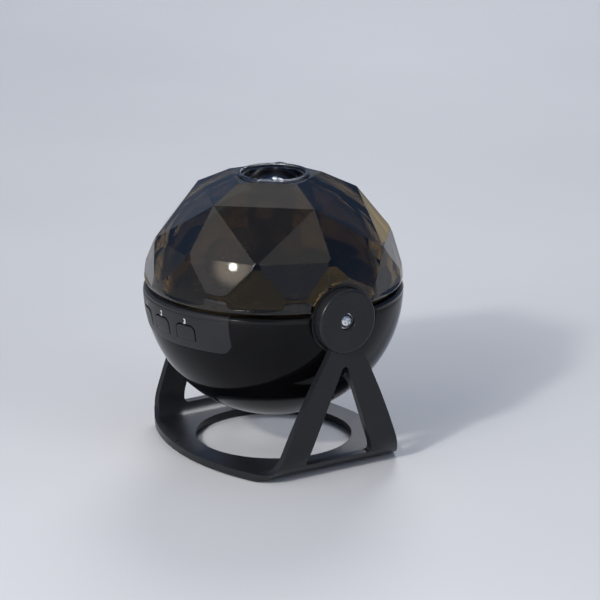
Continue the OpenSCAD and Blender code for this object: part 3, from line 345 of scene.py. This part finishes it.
def soften(node, radius, segments=3, angle=28):
    """Rounds a CAD node's visible edges; its own vertices stay as they are."""
    obj = NODES[node]
    weld = obj.modifiers.new("weld", "WELD")
    weld.merge_threshold = WELD_REACH
    bevel = obj.modifiers.new("soft_edges", "BEVEL")
    bevel.width = radius * MM
    bevel.segments = segments
    bevel.limit_method = "ANGLE"
    bevel.angle_limit = math.radians(angle)
    bevel.use_clamp_overlap = True
    bevel.harden_normals = True


for node, radius in EDGES.items():
    soften(node, radius)
soften("faceted_dome", DOME_EDGE, segments=2, angle=12)

# Numerals

TAB_PITCH = math.radians(16)
NUMERAL_Z = -4.35 * MM
NUMERAL_H = 2.5 * MM
NUMERAL_BOLD = 0.09 * MM
CAPITAL_SHARE = 0.7
INK_LIFT = 0.02 * MM
INK_DEPTH = 0.03 * MM


def numeral(text, angle):
    """A printed numeral, laid on the control panel's curve above a press tab."""
    curve = bpy.data.curves.new("numeral_" + text, "FONT")
    curve.body = text
    curve.size = NUMERAL_H / CAPITAL_SHARE
    curve.align_x = "CENTER"
    curve.align_y = "CENTER"
    curve.offset = NUMERAL_BOLD
    source = bpy.data.objects.new("numeral_source", curve)
    bpy.context.scene.collection.objects.link(source)
    bpy.context.view_layer.update()
    mesh = bpy.data.meshes.new_from_object(source.evaluated_get(bpy.context.evaluated_depsgraph_get()))
    bpy.data.objects.remove(source)
    mesh.name = "numeral_" + text
    bm = bmesh.new()
    bm.from_mesh(mesh)
    bmesh.ops.subdivide_edges(bm, edges=bm.edges[:], cuts=2)
    bmesh.ops.triangulate(bm, faces=bm.faces[:])
    outer = bmesh.ops.extrude_face_region(bm, geom=bm.faces[:])
    moved = {v for v in outer["geom"] if isinstance(v, bmesh.types.BMVert)}
    for vert in bm.verts:
        height = INK_DEPTH if vert in moved else 0
        z = NUMERAL_Z + vert.co.y
        radius = PANEL_R + INK_LIFT + height
        flat = math.sqrt(radius * radius - z * z)
        turn = angle + vert.co.x / flat
        vert.co = BALL_CENTRE + Vector((flat * math.sin(turn), -flat * math.cos(turn), z))
    bmesh.ops.recalc_face_normals(bm, faces=bm.faces[:])
    bm.to_mesh(mesh)
    bm.free()
    obj = bpy.data.objects.new("numeral_" + text, mesh)
    bpy.context.scene.collection.objects.link(obj)
    dress(obj, INK)
    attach(obj, "ball")


for index in range(3):
    numeral(str(index + 1), (index - 1) * TAB_PITCH)

# Stage and light

FLOOR_HALF = 6
# Sky colours by height, from straight down at 0 to straight up at 1
SKY = [
    (0.0, (0.30, 0.30, 0.31)),
    (0.5, (0.64, 0.54, 0.38)),
    (0.55, (0.24, 0.28, 0.36)),
    (0.66, (0.11, 0.17, 0.30)),
    (0.82, (0.10, 0.15, 0.26)),
    (0.96, (0.13, 0.15, 0.19)),
    (1.0, (0.30, 0.31, 0.36)),
]
WARM_WHITE = (1.0, 0.97, 0.92)
# Azimuth and elevation of the small round spot that one front facet mirrors
SPOT = (2.291, 28.529)
# Soft panels in the sky: azimuth from the front towards +X, elevation, radius, colour and strength
PANELS = [
    (357, 38, 36, (1.0, 0.92, 0.84), 0.9),
    (257, 74, 15, (1.0, 0.96, 0.90), 0.8),
    (87, 58, 17, (1.0, 0.93, 0.84), 0.6),
    (80, 33, 14, (1.0, 0.94, 0.92), 0.3),
    (150, 62, 20, (0.72, 0.84, 1.0), 0.3),
    (*SPOT, 0.45, (1.0, 0.84, 0.64), 2.6),
    (*SPOT, 0.1, WARM_WHITE, 40),
]
# The share of a panel's radius from which it is at full strength inwards
PANEL_CORE = 0.45


def toward(azimuth, elevation):
    """The direction at an azimuth, from the front towards +X, and an elevation, in degrees."""
    a, e = math.radians(azimuth), math.radians(elevation)
    return Vector((math.sin(a) * math.cos(e), -math.cos(a) * math.cos(e), math.sin(e)))


def add_world():
    """A soft dim sky with a warm horizon and round soft panels, which every ray sees alike."""
    world = bpy.data.worlds.new("studio")
    bpy.context.scene.world = world
    world.use_nodes = True
    tree = world.node_tree
    ray = tree.nodes.new("ShaderNodeTexCoord").outputs["Generated"]

    def mapped(source, low, high, curve):
        """0 to 1 as the source goes from low to high."""
        node = tree.nodes.new("ShaderNodeMapRange")
        node.interpolation_type = curve
        node.inputs["From Min"].default_value = low
        node.inputs["From Max"].default_value = high
        tree.links.new(source, node.inputs["Value"])
        return node.outputs["Result"]

    height = tree.nodes.new("ShaderNodeSeparateXYZ")
    tree.links.new(ray, height.inputs["Vector"])
    ramp = tree.nodes.new("ShaderNodeValToRGB")
    fill_ramp(ramp, SKY)
    tree.links.new(mapped(height.outputs["Z"], -1, 1, "LINEAR"), ramp.inputs["Fac"])
    color = ramp.outputs["Color"]
    for azimuth, elevation, radius, tone, strength in PANELS:
        off = tree.nodes.new("ShaderNodeVectorMath")
        off.operation = "DISTANCE"
        off.inputs[1].default_value = toward(azimuth, elevation)
        tree.links.new(ray, off.inputs[0])
        edge = 2 * math.sin(math.radians(radius / 2))
        inside = mapped(off.outputs["Value"], edge, edge * PANEL_CORE, "SMOOTHSTEP")
        add = tree.nodes.new("ShaderNodeVectorMath")
        add.operation = "MULTIPLY_ADD"
        tree.links.new(inside, add.inputs[0])
        add.inputs[1].default_value = [c * strength for c in tone]
        tree.links.new(color, add.inputs[2])
        color = add.outputs["Vector"]
    tree.links.new(color, tree.nodes["Background"].inputs["Color"])


def add_floor():
    mesh = bpy.data.meshes.new("floor")
    h = FLOOR_HALF
    mesh.from_pydata([(-h, -h, 0), (h, -h, 0), (h, h, 0), (-h, h, 0)], [], [(0, 1, 2, 3)])
    obj = bpy.data.objects.new("floor", mesh)
    bpy.context.scene.collection.objects.link(obj)
    s = Shader("floor_pale")
    tones = [(NOISE_LOW, (0.60, 0.61, 0.63)), (NOISE_HIGH, (0.64, 0.65, 0.67))]
    s.link(s.ramp(s.noise(3, 3, 0.5), tones), s.bsdf.inputs["Base Color"])
    s.set(Roughness=0.6)
    dress(obj, s.material)


def add_area(name, place, size, power, color, mirrored):
    """A round soft lamp that faces the ball, size across; glossy faces show a mirrored one."""
    data = bpy.data.lights.new(name, "AREA")
    data.shape = "DISK"
    data.size = size
    data.energy = power
    data.color = color
    obj = bpy.data.objects.new(name, data)
    bpy.context.scene.collection.objects.link(obj)
    obj.location = place
    obj.rotation_euler = (BALL_CENTRE - Vector(place)).to_track_quat("-Z", "Y").to_euler()
    obj.visible_glossy = mirrored
    obj.visible_transmission = False


add_world()
add_floor()
add_area("key", (0.55, -1.35, 1.0), 0.14, 14, WARM_WHITE, mirrored=True)
add_area("glow", (0.56, -1.40, 1.02), 0.7, 10, WARM_WHITE, mirrored=True)
add_area("fill", (1.6, 0.6, 0.9), 1.0, 6, (0.93, 0.96, 1.0), mirrored=False)
add_area("back", (-1.2, 1.0, 1.2), 0.8, 10, (1, 1, 1), mirrored=True)
